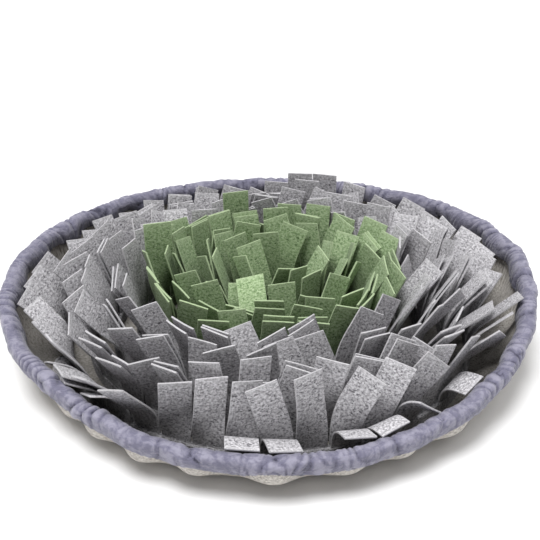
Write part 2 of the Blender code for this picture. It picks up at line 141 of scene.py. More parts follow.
# The casing's section, from the hem's outer corner round the outside, down to the inner hem and
# back up inside: its distance from the felt's middle, and its share of the casing's height.
# The last column is the share of the puff that it takes.
CasingRow = namedtuple("CasingRow", "out up puff")
HEM_IN = 3.2 * MM
HEM_OUT = HEM_IN + 2.0 * MM
CASING = [
    CasingRow(HEM_OUT, 0.0, 1.0),
    CasingRow(6.9 * MM, 0.3, 0.6),
    CasingRow(6.8 * MM, 0.68, 0.2),
    CasingRow(3.6 * MM, 1.0, 0.0),
    CasingRow(-3.4 * MM, 1.0, 0.0),
    CasingRow(-6.8 * MM, 0.7, 0.0),
    CasingRow(-6.6 * MM, 0.3, 0.0),
    CasingRow(-HEM_OUT, 0.0, 0.0),
    CasingRow(-HEM_IN, 0.0, 0.0),
    CasingRow(-4.6 * MM, 0.32, 0.0),
    CasingRow(-4.8 * MM, 0.68, 0.0),
    CasingRow(0.0, 0.88, 0.0),
    CasingRow(4.8 * MM, 0.68, 0.2),
    CasingRow(4.7 * MM, 0.32, 0.6),
    CasingRow(HEM_IN, 0.0, 0.4),
]

# ---- the slit bands ----

STRIP_PITCH = 25.4 * MM
SLIT = 1.0 * MM  # left between two strips of a band
FELT = 1.4 * MM
LENGTH_SPREAD = 3 * MM  # of the strips, above the uncut edge
ROOT_HEIGHT = 12 * MM  # the uncut edge, folded and sewn down: two layers and their seam
ROOT_THICK = 6 * MM
MOST_STRIPS = 292
ROOM = 0.25 * MM  # kept round a strip
BAND_TURN = 137.5  # degrees from one band's first strip to the next band's

SEED = 20
TRIES = 120  # for each strip
STEPS = 3  # straight runs along a strip
POSED_STEPS = 4  # along one of those that stand out
SMOOTH_STEPS = 6  # of the rounder bend that a strip is also kept clear in
SPINE_STEPS = 12  # of its finest line, a multiple of all these
SPREAD = 5  # degrees that a strip may first be off the pose it is given
PARTNER_SPREAD = 2
PACKET = (1, 3)  # neighbours on a band that lean alike, at least and at most
# The most degrees that a packet may be off the pose of its zone. One packet is off outwards and
# the next one inwards, so that they can cross.
Packet = namedtuple("Packet", "out aside turn")
PACKET_SPREAD = Packet(11, 27, 22)
LEAST_OUT = 0.2  # the least share of the spread that a packet is off outwards or inwards
WIDER = 7.5  # how much the spread has grown by the last try, as a share of itself
TURN_SPREAD = 1.6  # the spread of a strip's turn, to that of its lean
SHORTER = 0.6  # twice the share of its length that a strip has lost by the last try
BENDS = (0.45, 0.8)  # the share of its length in which a strip bends, at least and at most

# A band's radius follows from its number of strips. The outer bands lie a little towards -Y,
# and the inner ones towards +Y.
RingRow = namedtuple("RingRow", "name strips colour partners shift")
RINGS = [
    RingRow("band_grey_1", 43, "grey", 0.5, -6 * MM),
    RingRow("band_grey_2", 38, "grey", 0.5, -4 * MM),
    RingRow("band_grey_3", 33, "grey", 0.5, -1 * MM),
    RingRow("band_grey_4", 28, "grey", 0.5, 2 * MM),
    RingRow("band_green_1", 24, "green", 0.5, 4 * MM),
    RingRow("band_green_2", 20, "green", 0.4, 5 * MM),
    RingRow("band_green_3", 16, "green", 0.4, 6 * MM),
    RingRow("band_green_4", 12, "green", 0.4, 6 * MM),
    RingRow("band_green_5", 8, "green", 0.3, 6 * MM),
    RingRow("band_green_6", 4, "green", 0.0, 6 * MM),
]

# How the strips lie, in three zones of the mat: the azimuth towards which a strip has fallen,
# how far from upright, how far its face has turned from the band's own line, and how long it is.
LeanRow = namedtuple("LeanRow", "azimuth toward lean turn length")
ZONES = [
    (174 * MM, table(LeanRow, 1, [
        (0, 15, 44, 25, 60),
        (30, 38, 38, 12, 56),
        (60, 58, 26, 6, 53),
        (82, 88, 8, 4, 51),
        (105, 100, 14, -7, 48),
        (130, 136, 24, -8, 47),
        (155, 152, 34, -16, 52),
        (180, 165, 40, -36, 56),
        (202, 185, 44, -44, 57),
        (220, 215, 44, 0, 52),
        (240, 236, 28, 10, 54),
        (256, 150, 8, 14, 56),
        (275, 85, 8, -4, 58),
        (295, 60, 14, -6, 60),
        (312, 350, 20, -8, 58),
        (328, 345, 38, 14, 56),
        (345, 358, 46, 14, 63),
    ])),
    (128 * MM, table(LeanRow, 1, [
        (0, 10, 28, 25, 66),
        (30, 36, 26, 8, 66),
        (60, 60, 18, 2, 63),
        (90, 90, 12, 0, 61),
        (110, 105, 14, -7, 60),
        (130, 128, 18, -12, 60),
        (150, 146, 22, -12, 62),
        (170, 168, 20, -8, 64),
        (190, 180, 20, -10, 66),
        (206, 192, 26, -40, 62),
        (226, 216, 18, 5, 62),
        (250, 240, 6, 10, 62),
        (268, 90, 5, 14, 62),
        (290, 100, 6, -12, 62),
        (312, 335, 16, -16, 64),
        (332, 350, 28, 14, 66),
    ])),
    (45 * MM, table(LeanRow, 1, [
        (0, 12, 30, 20, 62),
        (30, 32, 26, 0, 62),
        (60, 65, 16, 10, 62),
        (90, 90, 12, 0, 62),
        (120, 115, 12, -5, 62),
        (150, 150, 18, 15, 62),
        (180, 180, 26, 32, 62),
        (210, 195, 18, 28, 58),
        (240, 250, 8, 20, 52),
        (270, 90, 4, 0, 52),
        (300, 340, 8, -15, 56),
        (330, 355, 26, 5, 60),
    ])),
]

# Between two azimuths, strips of the outermost band fall out over the wall, below the others: how
# far aside from straight outwards, how far over, and what share of the places has one.
LyingRow = namedtuple("LyingRow", "first last aside lean length share")
LYING = [
    LyingRow(190, 250, -22, 80, 40 * MM, 1.0),
    LyingRow(250, 350, 4, 94, 38 * MM, 0.8),
]
LYING_BENDS = (0.6, 0.9)
LYING_SPREAD = 15  # degrees

# Strips that stand out, each at the place on its band that is nearest to the azimuth: curled
# ones bend all the way up, and the two in the middle lie down over their neighbours.
PoseRow = namedtuple("PoseRow", "ring azimuth toward lean turn bend length")
POSES = [
    PoseRow("band_grey_1", 281, 276, 135, -4, 1.0, 50 * MM),
    PoseRow("band_grey_1", 79, 84, 3, 2, 0.5, 65 * MM),
    PoseRow("band_grey_1", 70, 92, 4, 5, 0.5, 66 * MM),
    PoseRow("band_grey_1", 61, 30, 9, -8, 0.5, 60 * MM),
    PoseRow("band_grey_2", 72, 80, 4, 4, 0.5, 66 * MM),
    PoseRow("band_green_1", 106, 102, 8, -6, 0.5, 74 * MM),
    PoseRow("band_green_1", 170, 100, 6, -62, 0.5, 78 * MM),
    PoseRow("band_green_4", 262, 98, 62, 8, 0.55, 64 * MM),
    PoseRow("band_green_6", 0, 40, 62, -30, 0.6, 60 * MM),
]


def eased(share):
    return share * share * (3 - 2 * share)


def bracket(rows, azimuth):
    """The two rows on either side of an azimuth, and how far it is from the first to the second."""
    azimuth %= 360
    after = next((i for i, row in enumerate(rows) if row.azimuth > azimuth), 0)
    low, high = rows[after - 1], rows[after]
    share = ((azimuth - low.azimuth) % 360) / ((high.azimuth - low.azimuth) % 360)
    return low, high, eased(share)


def around(rows, column, azimuth):
    low, high, share = bracket(rows, azimuth)
    return getattr(low, column) * (1 - share) + getattr(high, column) * share


def bump(fold, azimuth):
    """1 at the middle of a fold, and 0 past its sides."""
    away = abs((azimuth - fold.azimuth + 180) % 360 - 180) / fold.half_width
    return math.cos(away * math.pi / 2) ** 2 if away < 1 else 0.0


def fold_sum(column, azimuth):
    return sum(getattr(fold, column) * bump(fold, azimuth) for fold in FOLDS)


def fullness(azimuth):
    return min(1.0, sum(bump(fold, azimuth) for fold in FOLDS))


def polar(radius, azimuth, height):
    angle = math.radians(azimuth)
    return Vector((radius * math.cos(angle), radius * math.sin(angle), height))


def wall_line(azimuth):
    """The middle of the felt's wall, as (radius, height) from the floor to its edge."""
    radius, top = around(RIM, "radius", azimuth), around(RIM, "top", azimuth)
    wave = fold_sum("bulge", azimuth) - PINCH
    low = BASE_THICK / 2
    span = radius - FLAT_RADIUS
    line = [
        (FLAT_RADIUS + span * row.run + wave * row.sway, low + row.rise * top) for row in WALL
    ]
    return line + [(radius + wave * EDGE_SWAY, top - EDGE_BELOW_TOP)]


def felt_radius(azimuth, height):
    """The radius of the wall's middle at a height. Its last slope carries on above its edge."""
    line = wall_line(azimuth)
    pairs = list(zip(line, line[1:]))
    (r_low, z_low), (r_high, z_high) = next((p for p in pairs if height <= p[1][1]), pairs[-1])
    return r_low + (r_high - r_low) * (height - z_low) / (z_high - z_low)


def offset_line(line, distance):
    """The line moved sideways, away from the mat's axis for a distance over 0."""
    moved = []
    for i, (radius, height) in enumerate(line):
        before, after = line[max(i - 1, 0)], line[min(i + 1, len(line) - 1)]
        run, rise = after[0] - before[0], after[1] - before[1]
        size = math.hypot(run, rise)
        moved.append((radius + distance * rise / size, height - distance * run / size))
    return moved


def base_section(azimuth):
    """The felt's outline beyond its flat middle: out along the underside, and back on top."""
    line = wall_line(azimuth)
    under = offset_line(line, BASE_THICK / 2)
    over = offset_line(line, -BASE_THICK / 2)
    under[0], over[0] = (line[0][0], 0.0), (line[0][0], BASE_THICK)
    return under + over[::-1]


def casing_section(azimuth):
    top = around(RIM, "top", azimuth)
    height = CASING_HEIGHT - fold_sum("lift", azimuth)
    puff = PUFF * (1 - fullness(azimuth))
    points = []
    for row in CASING:
        z = top - height * (1 - row.up)
        points.append((felt_radius(azimuth, z) + row.out + puff * row.puff, z))
    return points


def swept(section, closed):
    """A mesh with the section at each step round the axis. An open one ends in two discs."""
    mesh = bmesh.new()
    loops = []
    for step in range(SEGMENTS):
        azimuth = 360 * step / SEGMENTS
        loops.append([mesh.verts.new(polar(r, azimuth, z)) for r, z in section(azimuth)])
    count = len(loops[0])
    for here, there in zip(loops, loops[1:] + loops[:1]):
        for i in range(count if closed else count - 1):
            j = (i + 1) % count
            mesh.faces.new((here[i], there[i], there[j], here[j]))
    if not closed:
        mesh.faces.new([loop[0] for loop in reversed(loops)])
        mesh.faces.new([loop[-1] for loop in loops])
    bmesh.ops.recalc_face_normals(mesh, faces=mesh.faces)
    return mesh


# ---- strips ----

Strip = namedtuple("Strip", "cell layer width spine tilt bend length")


def apothem(ring):
    """The radius of a band, from its axis to the middle of each strip's root."""
    return STRIP_PITCH / 2 / math.tan(math.pi / ring.strips)


def cell_azimuth(ring, cell):
    return BAND_TURN * RINGS.index(ring) + 360 * (cell + 0.5) / ring.strips


def root_of(ring, cell, layer):
    """Where a strip leaves its band's uncut edge, and its width there. Layer 0 is the outer one."""
    shift = ROOT_THICK / 4 * (1 - 2 * layer)
    radius = apothem(ring) + shift
    room = 2 * (radius - FELT / 2) * math.tan(math.pi / ring.strips)
    place = polar(radius, cell_azimuth(ring, cell), BASE_THICK + GAP + ROOT_HEIGHT)
    place.y += ring.shift
    return place, min(room, STRIP_PITCH) - SLIT


def turned(azimuth, toward, lean, turn):
    """The turn of a strip's end: its width, its thickness outwards and its length are x, y and z."""
    upright = Quaternion(UP, math.radians(azimuth + turn - 90))
    axis = UP.cross(polar(1, toward, 0))
    return Quaternion(axis, math.radians(lean)) @ upright


def spine_of(root, start, end, length, bend, steps):
    """Places and turns along a strip that stands up from its root and has turned by bend."""
    place, spine = root.copy(), [(root.copy(), start)]
    for part in range(SPINE_STEPS):
        middle = start.slerp(end, eased(min(1.0, (part + 0.5) / SPINE_STEPS / bend)))
        place = place + middle @ Vector((0, 0, length / SPINE_STEPS))
        if (part + 1) * steps % SPINE_STEPS == 0:
            turn = start.slerp(end, eased(min(1.0, (part + 1) / SPINE_STEPS / bend)))
            spine.append((place.copy(), turn))
    return spine


def corners(place, turn, half_width, half_thick):
    signs = ((-1, -1), (1, -1), (1, 1), (-1, 1))
    return [place + turn @ Vector((a * half_width, b * half_thick, 0)) for a, b in signs]


def tree_of(spines, width, room):
    """The strip's surface, with some room round it, for finding what it would run into. Each side
    of each bend is there split both ways, because it is a little twisted."""
    points, faces = [], []
    for spine in spines:
        first = len(points)
        for place, turn in spine:
            points += corners(place, turn, width / 2 + room, FELT / 2 + room)
        for at in range(first, len(points) - 4, 4):
            for i in range(4):
                j = (i + 1) % 4
                low, high = (at + i, at + j), (at + 4 + i, at + 4 + j)
                faces += [(*low, high[0]), (*low, high[1]), (*high, low[0]), (*high, low[1])]
        faces += [tuple(first + i for i in (3, 2, 1, 0)), tuple(range(len(points) - 4, len(points)))]
    return BVHTree.FromPolygons(points, faces)


class Heap:
    """What has been placed so far: each thing's surface, the middle of it and its reach."""

    def __init__(self, solids):
        self.solids = solids
        self.things = []

    def add(self, tree, middle, reach):
        self.things.append((tree, middle, reach))

    def free(self, tree, middle, reach):
        if any(tree.overlap(solid) for solid in self.solids):
            return False
        for other, centre, size in self.things:
            if (centre - middle).length < reach + size and tree.overlap(other):
                return False
        return True


Pose = namedtuple("Pose", "tilt length")


def mixed(pose, other, share):
    return Pose(pose.tilt.lerp(other.tilt, share), pose.length + (other.length - pose.length) * share)


def zone_pose(radius, azimuth):
    """The tilt as a vector, the turn and the length that the zones' tables give at a place."""
    found = []
    for _, rows in ZONES:
        low, high, share = bracket(rows, azimuth)
        poses = [Pose(polar(row.lean, row.toward, row.turn), row.length) for row in (low, high)]
        found.append(mixed(*poses, share))
    radii = [zone for zone, _ in ZONES]
    for outer in range(len(radii) - 1):
        if radius > radii[outer + 1]:
            share = (radius - radii[outer + 1]) / (radii[outer] - radii[outer + 1])
            return mixed(found[outer + 1], found[outer], min(1.0, share))
    return found[-1]


def try_strip(heap, ring, cell, layer, tilt, bend, length, steps):
    """The strip at this pose if it runs into nothing, and None otherwise."""
    root, width = root_of(ring, cell, layer)
    azimuth = cell_azimuth(ring, cell)
    lean, toward, turn = tilt.xy.length, math.degrees(math.atan2(tilt.y, tilt.x)), tilt.z
    start = turned(azimuth, azimuth, 0, 0)
    end = turned(azimuth, toward, lean, turn)
    spine = spine_of(root, start, end, length, bend, steps)
    smooth = spine_of(root, start, end, length, bend, SMOOTH_STEPS)
    middle = (spine[0][0] + spine[-1][0]) / 2
    reach = max((place - middle).length for place, _ in spine) + width / 2
    if not heap.free(tree_of((spine, smooth), width, ROOM), middle, reach):
        return None
    heap.add(tree_of((spine, smooth), width, 0.0), middle, reach)
    fine = spine_of(root, start, end, length, bend, SPINE_STEPS)
    return Strip(cell, layer, width, fine, tilt, bend, length)


def find_strip(heap, rng, ring, cell, layer, pose, bends, spread):
    """Tries poses ever further from the wanted one. The later half are for a shorter strip."""
    for attempt in range(TRIES):
        done = attempt / TRIES
        wide = spread * (1 + WIDER * done)
        jitter = Vector([rng.uniform(-1, 1) * wide for _ in range(3)])
        jitter.z *= TURN_SPREAD
        length = pose.length + rng.uniform(-1, 1) * LENGTH_SPREAD
        length *= 1 - SHORTER * max(0.0, done - 0.5)
        bend = rng.uniform(*bends)
        strip = try_strip(heap, ring, cell, layer, pose.tilt + jitter, bend, length, STEPS)
        if strip:
            return strip
    return None


def packets(rng, ring):
    """Each strip of a band: how far its packet is off the pose of its zone, and its layer."""
    cells, layer = [], 0
    while len(cells) < ring.strips:
        layer = 1 - layer
        out = rng.uniform(LEAST_OUT, 1) * PACKET_SPREAD.out * (1 - 2 * layer)
        aside, turn = rng.uniform(-1, 1) * PACKET_SPREAD.aside, rng.uniform(-1, 1) * PACKET_SPREAD.turn
        cells += [(Packet(out, aside, turn), layer)] * rng.randint(*PACKET)
    return cells[: ring.strips]


def put_off(pose, offset, azimuth):
    aside = polar(offset.aside, azimuth + 90, offset.turn)
    return Pose(pose.tilt + polar(offset.out, azimuth, 0) + aside, pose.length)


def lying_row(ring, cell):
    azimuth = cell_azimuth(ring, cell) % 360
    rows = LYING if ring is RINGS[0] else ()
    return next((row for row in rows if row.first < azimuth < row.last), None)


def partner_of(heap, rng, ring, strip):
    """A second strip from the same place: beside the first, or fallen out over the wall."""
    row = lying_row(ring, strip.cell)
    if rng.random() > (row.share if row else ring.partners):
        return None
    pose, bends, spread = Pose(strip.tilt, strip.length), (strip.bend, strip.bend), PARTNER_SPREAD
    if row:
        toward = cell_azimuth(ring, strip.cell) + row.aside
        pose = Pose(polar(row.lean, toward, 0), row.length)
        bends, spread = LYING_BENDS, LYING_SPREAD
    return find_strip(heap, rng, ring, strip.cell, 1 - strip.layer, pose, bends, spread)


def placed_strips(solids):
    """Every strip of every band, by the band's name. Bands are filled from the rim inwards."""
    rng = random.Random(SEED)
    heap = Heap(solids)
    placed = {ring.name: [] for ring in RINGS}
    rings = {ring.name: ring for ring in RINGS}
    taken = set()
    for row in POSES:
        ring = rings[row.ring]
        cell = round((row.azimuth - cell_azimuth(ring, 0)) % 360 * ring.strips / 360) % ring.strips
        tilt = polar(row.lean, row.toward, row.turn)
        strip = try_strip(heap, ring, cell, 0, tilt, row.bend, row.length, POSED_STEPS)
        if strip:
            placed[ring.name].append(strip)
            taken.add((ring.name, cell))
    spare = MOST_STRIPS - sum(ring.strips for ring in RINGS)
    for ring in RINGS:
        for cell, (offset, layer) in enumerate(packets(rng, ring)):
            if (ring.name, cell) in taken:
                continue
            azimuth = cell_azimuth(ring, cell)
            pose = put_off(zone_pose(apothem(ring), azimuth), offset, azimuth)
            layer = 1 if lying_row(ring, cell) else layer
            strip = find_strip(heap, rng, ring, cell, layer, pose, BENDS, SPREAD)
            if not strip:
                continue
            placed[ring.name].append(strip)
            partner = partner_of(heap, rng, ring, strip) if spare else None
            if partner:
                placed[ring.name].append(partner)
                spare -= 1
    return placed


# ---- the scene and its camera ----

IMAGE_SIDE = 540  # pixels
FOCAL_PIXELS = 911
CAMERA_DISTANCE = 0.80
CAMERA_ELEVATION = 31.5  # degrees above the floor
LOOK_AT = Vector((0, 0, 0.03))
LOOK_PIXEL = (268.3, 303.4)  # where that point is in the picture
SENSOR = 36.0  # mm


def added(name, data):
    made = bpy.data.objects.new(name, data)
    bpy.context.scene.collection.objects.link(made)
    return made


def add_camera():
    camera = bpy.data.cameras.new("camera")
    camera.sensor_width = SENSOR
    camera.lens = FOCAL_PIXELS / IMAGE_SIDE * SENSOR
    camera.shift_x = (IMAGE_SIDE / 2 - LOOK_PIXEL[0]) / IMAGE_SIDE
    camera.shift_y = (LOOK_PIXEL[1] - IMAGE_SIDE / 2) / IMAGE_SIDE
    made = added("camera", camera)
    elevation = math.radians(CAMERA_ELEVATION)
    back = Vector((0, -math.cos(elevation), math.sin(elevation)))
    made.location = LOOK_AT + back * CAMERA_DISTANCE
    made.rotation_euler = (-back).to_track_quat("-Z", "Y").to_euler()
    bpy.context.scene.camera = made


# ---- materials ----


class Shader:
    """A material's nodes, made and joined by short calls."""

    def __init__(self, name):
        self.material = bpy.data.materials.new(name)
        self.material.use_nodes = True
        self.tree = self.material.node_tree
        self.surface = self.tree.nodes["Principled BSDF"]

    def put(self, socket, value):
        if isinstance(value, bpy.types.NodeSocket):
            self.tree.links.new(value, socket)
        else:
            socket.default_value = value

    def node(self, kind, inputs=(), **settings):
        made = self.tree.nodes.new("ShaderNode" + kind)
        for name, value in settings.items():
            setattr(made, name, value)
        for name, value in dict(inputs).items():
            self.put(made.inputs[name], value)
        return made

    def math(self, operation, a, b=0.0, clamp=False):
        return self.node("Math", {0: a, 1: b}, operation=operation, use_clamp=clamp).outputs[0]

    def mix(self, share, a, b):
        return self.node("Mix", {0: share, 6: a, 7: b}, data_type="RGBA").outputs[2]

    def spread(self, value, low, high, to_low=0.0, to_high=1.0):
        """The value's range from low to high, spread smoothly over the second range."""
        inputs = {0: value, 1: low, 2: high, 3: to_low, 4: to_high}
        return self.node("MapRange", inputs, interpolation_type="SMOOTHSTEP").outputs[0]

    def noise(self, place, pattern):
        inputs = {"Vector": place, "Scale": pattern.scale, "Detail": pattern.detail}
        inputs |= {"Roughness": pattern.roughness, "Distortion": pattern.twist}
        return self.node("TexNoise", inputs).outputs["Fac"]

    def stretched(self, place, angle, length):
        """A place for a texture of streaks that lie at an angle and are drawn out in length."""
        inputs = {"Vector": place, "Rotation": (0, 0, math.radians(angle)), "Scale": (1 / length, 1, 1)}
        return self.node("Mapping", inputs).outputs[0]

    def attribute(self, name):
        return self.node("Attribute", attribute_name=name).outputs["Fac"]

    def bump(self, height, strength, distance, under=None):
        inputs = {"Height": height, "Strength": strength, "Distance": distance}
        if under:
            inputs["Normal"] = under
        return self.node("Bump", inputs).outputs[0]

    def finished(self, colour, normal, settings):
        """The material. Each point's tone, with its painted shade, darkens or lightens its colour."""
        inputs = {"Value": self.attribute("tone"), "Color": colour}
        self.put(self.surface.inputs["Base Color"], self.node("HueSaturation", inputs).outputs[0])
        self.put(self.surface.inputs["Normal"], normal)
        for name, value in settings.items():
            self.surface.inputs[name].default_value = value
        return self.material


# The colours of each felt: its cloudy spots and what lies between them, its flecks, its cut edge.
Felt = namedtuple("Felt", "light middle dark edge")
FELTS = {
    "felt_heather_grey": Felt(
        (0.80, 0.785, 0.815), (0.40, 0.39, 0.41), (0.085, 0.081, 0.093), (0.68, 0.67, 0.69)
    ),
    "felt_sage_green": Felt(
        (0.48, 0.605, 0.365), (0.25, 0.365, 0.175), (0.085, 0.15, 0.055), (0.50, 0.61, 0.38)
    ),
    "felt_base": Felt(
        (0.80, 0.765, 0.715), (0.56, 0.52, 0.475), (0.23, 0.20, 0.17), (0.82, 0.79, 0.75)
    ),
}
FELT_SURFACE = {
    "Roughness": 0.95,
    "Specular IOR Level": 0.15,
    "Sheen Weight": 0.08,
    "Sheen Roughness": 0.6,
}
# Patterns: how many spots there are along a metre of cloth, how fine, how rough and how twisted.
Pattern = namedtuple("Pattern", "scale detail roughness twist")
MOTTLE = Pattern(480.0, 4.0, 0.72, 0.0)  # the felt's cloudy spots
FLECK = Pattern(700.0, 3.0, 0.6, 0.0)
PATCH = Pattern(110.0, 2.0, 0.5, 0.0)  # places with more flecks or fewer
FRAY = Pattern(1500.0, 2.0, 0.5, 0.0)  # of the cut edge
FIBRE = Pattern(2400.0, 3.0, 0.7, 0.0)
# The range of a pattern's values that shows, and the range that it is spread over.
MOTTLE_SPREAD = (0.38, 0.60, 0.0, 1.0)
FLECK_SPREAD = (0.33, 0.45, 0.9, 0.0)
PATCH_SPREAD = (0.3, 0.7, 0.6, 1.2)
FRAY_SPREAD = (0.3, 0.6, 0.4, 0.95)
# How strongly a pattern shows as relief, and how deep it is.
FIBRE_RELIEF = (0.5, 0.4 * MM)
MOTTLE_RELIEF = (0.5, 0.3 * MM)
STREAKS = ((25, 2.2), (-50, 1.8), (85, 2.0))  # the flecks' angles, and how drawn out they are
DUSK = 0.62  # painted shade: how much the felt's colour is darkened down among the strips, where little light gets in


def felt_material(name):
    felt = FELTS[name]
    shader = Shader(name)
    place = shader.node("UVMap", uv_map="cloth").outputs[0]
    mottle = shader.spread(shader.noise(place, MOTTLE), *MOTTLE_SPREAD)
    colour = shader.mix(mottle, [*felt.middle, 1], [*felt.light, 1])
    streaks = [shader.noise(shader.stretched(place, *row), FLECK) for row in STREAKS]
    darkest = shader.math("MINIMUM", shader.math("MINIMUM", streaks[0], streaks[1]), streaks[2])
    fleck = shader.spread(darkest, *FLECK_SPREAD)
    patch = shader.spread(shader.noise(place, PATCH), *PATCH_SPREAD)
    fleck = shader.math("MULTIPLY", fleck, patch, clamp=True)
    colour = shader.mix(fleck, colour, [*felt.dark, 1])
    fray = shader.spread(shader.noise(place, FRAY), *FRAY_SPREAD)
    rim = shader.math("MULTIPLY", shader.attribute("rim"), fray)
    colour = shader.mix(rim, colour, [*felt.edge, 1])
    relief = shader.bump(shader.noise(place, FIBRE), *FIBRE_RELIEF)
    relief = shader.bump(mottle, *MOTTLE_RELIEF, relief)
    return shader.finished(colour, relief, FELT_SURFACE)


# Lit and shaded copies of the cloth's colour, picked by how deep in the folds a point lies: a painted
# highlight on the ridges, a middle colour, and painted shade deep in the creases.
CASING_RIDGE_HIGHLIGHT = (0.355, 0.343, 0.436)
CASING_DARK = (0.190, 0.184, 0.262)
CASING_CREASE_SHADE = (0.055, 0.053, 0.092)
CASING_SURFACE = {
    "Roughness": 0.6,
    "Specular IOR Level": 0.35,
    "Sheen Weight": 0.35,
    "Sheen Roughness": 0.4,
}
DARK_AT = 0.55  # how deep in a fold the painted shading reaches the cloth's dark colour, from 0 to 1
CLOUD = Pattern(140.0, 4.0, 0.65, 0.6)
CLOUD_SPREAD = (0.35, 0.65, -0.2, 0.2)
CRINKLE = Pattern(300.0, 4.0, 0.65, 0.8)
CRINKLE_RELIEF = (0.8, 1.8 * MM)
WEAVE_SCALE = 1500.0  # threads for each metre, times the wave texture's own turn
WEAVE_RELIEF = (0.25, 0.2 * MM)


def casing_material():
    shader = Shader("casing_cloth")
    place = shader.node("UVMap", uv_map="cloth").outputs[0]
    cloud = shader.spread(shader.noise(place, CLOUD), *CLOUD_SPREAD)
    # Painted shading of the folds: painted highlight on the ridges, painted shade in the creases.
    painted_fold_shading = shader.math("ADD", shader.attribute("rim"), cloud)
    colour = shader.mix(shader.spread(painted_fold_shading, 0.0, DARK_AT), [*CASING_RIDGE_HIGHLIGHT, 1], [*CASING_DARK, 1])
    colour = shader.mix(shader.spread(painted_fold_shading, DARK_AT, 1.0), colour, [*CASING_CREASE_SHADE, 1])
    inputs = {"Vector": place, "Scale": WEAVE_SCALE}
    threads = [shader.node("TexWave", inputs, bands_direction=way).outputs["Fac"] for way in "XY"]
    relief = shader.bump(shader.math("MAXIMUM", *threads), *WEAVE_RELIEF)
    relief = shader.bump(shader.noise(place, CRINKLE), *CRINKLE_RELIEF, relief)
    return shader.finished(colour, relief, CASING_SURFACE)


# ---- meshes from grids of points ----

SHARP = 38  # degrees between two faces, over which their edge isn't shaded smooth

# Each point has a place on the cloth; a tone, which holds its random tone and its painted shade; and a
# rim:
# how far it shows the felt's cut edge, or how deep in the casing's folds it is, for their painted shade
# and highlight.
Part = namedtuple("Part", "points faces cloth rim tone")


def part_of(points, faces, cloth, rim, tone):
    """A part of a piece, from its rows of points."""
    rim, tone = [np.broadcast_to(values, points.shape[:2]).ravel() for values in (rim, tone)]
    return Part(points.reshape(-1, 3), faces, cloth.reshape(-1, 2), rim, tone)


def add_piece(name, parts, material, node):
    count, faces = 0, []
    for part in parts:
        faces += [tuple(i + count for i in face) for face in part.faces]
        count += len(part.points)
    data = bpy.data.meshes.new(name)
    points = np.concatenate([part.points for part in parts])
    data.from_pydata(points.tolist(), [], faces)
    uv = data.uv_layers.new(name="cloth")
    places = np.concatenate([part.cloth for part in parts])
    corner_points = np.zeros(len(data.loops), dtype=np.int32)
    data.loops.foreach_get("vertex_index", corner_points)
    uv.data.foreach_set("uv", places[corner_points].astype(np.float32).ravel())
    for key in ("rim", "tone"):
        values = np.concatenate([getattr(part, key) for part in parts]).astype(np.float32)
        data.attributes.new(key, "FLOAT", "POINT").data.foreach_set("value", values)
    data.shade_smooth()
    data.set_sharp_from_angle(angle=math.radians(SHARP))
    data.materials.append(material)
    made = added(name, data)
    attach(made, "root")
    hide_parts(node)
    return made


def grid_faces(rows, columns, close_rows, close_columns):
    faces = []
    for i in range(rows if close_rows else rows - 1):
        for j in range(columns if close_columns else columns - 1):
            k, m = (i + 1) % rows, (j + 1) % columns
            faces.append((i * columns + j, k * columns + j, k * columns + m, i * columns + m))
    return faces


def curve_through(points, count, closed=False):
    """The points of a smooth line through the given ones, count of them from each to the next."""
    points = np.array(points, float)
    total = len(points)
    first = np.arange(total if closed else total - 1)
    near = [first + k for k in (-1, 0, 1, 2)]
    near = [i % total if closed else np.clip(i, 0, total - 1) for i in near]
    a, b, c, d = [points[i][:, None, :] for i in near]
    t = (np.arange(count) / count)[None, :, None]
    square, cube = 2 * a - 5 * b + 4 * c - d, 3 * b - a - 3 * c + d
    made = 0.5 * (2 * b + (c - a) * t + square * t**2 + cube * t**3)
    made = made.reshape(-1, points.shape[1])
    return made if closed else np.vstack([made, points[-1:]])


def lengths_along(points):
    return np.concatenate([[0], np.cumsum(np.linalg.norm(np.diff(points, axis=0), axis=1))])


def crossed(first, second):
    """Places on the cloth, from a value for each row or point of a grid and one for each column."""
    return np.stack(np.broadcast_arrays(first[:, None], second[None, :]), axis=-1)


def spun(sections, azimuths):
    """Points from (radius, height) sections, one for each azimuth, as an array of rows."""
    angle = np.radians(azimuths)[:, None]
    radius, height = sections[..., 0], sections[..., 1]
    return np.stack([radius * np.cos(angle), radius * np.sin(angle), height], axis=-1)


# ---- the felt base ----

BASE_STEPS = 384  # round the mat
WALL_POINTS = 5  # from one row of the wall's table to the next
BASE_SEED = 5
FLAT_SHARES = (0.004, 0.3, 0.65, 0.9)  # of the flat middle's radius, where it has rings of points
EDGE_ROUND = 0.6 * MM
STRETCH = 0.1  # how much longer the felt is on the wall than straight below it
CUT_STEP = 10  # degrees from one measure of the wall to the next
RIPPLE_TURNS = (6, 70)  # waves round the mat, at least and at most
RIPPLE_SIZES = (0.3, 1.0)
LUMPS = 40  # waves that the wall's lumps are made of
LUMP_HEIGHT = 0.8 * MM
LUMP_RISE = 30 * MM  # the height at which they are all there
LUMP_LIMIT = 1.1 * MM  # a higher lump would meet the casing
OPEN_RADIUS = 218 * MM  # from here in, painted shade darkens the dish's inside over OPEN_WIDTH
OPEN_WIDTH = 20 * MM


def ripple(rng, azimuths, waves, size):
    """An uneven line round the mat, made of a number of waves with random places."""
    total = np.zeros_like(azimuths)
    for _ in range(waves):
        turns, start = rng.randint(*RIPPLE_TURNS), rng.uniform(0, math.tau)
        total += np.sin(np.radians(azimuths) * turns + start) * rng.uniform(*RIPPLE_SIZES)
    return total / math.sqrt(waves) * size


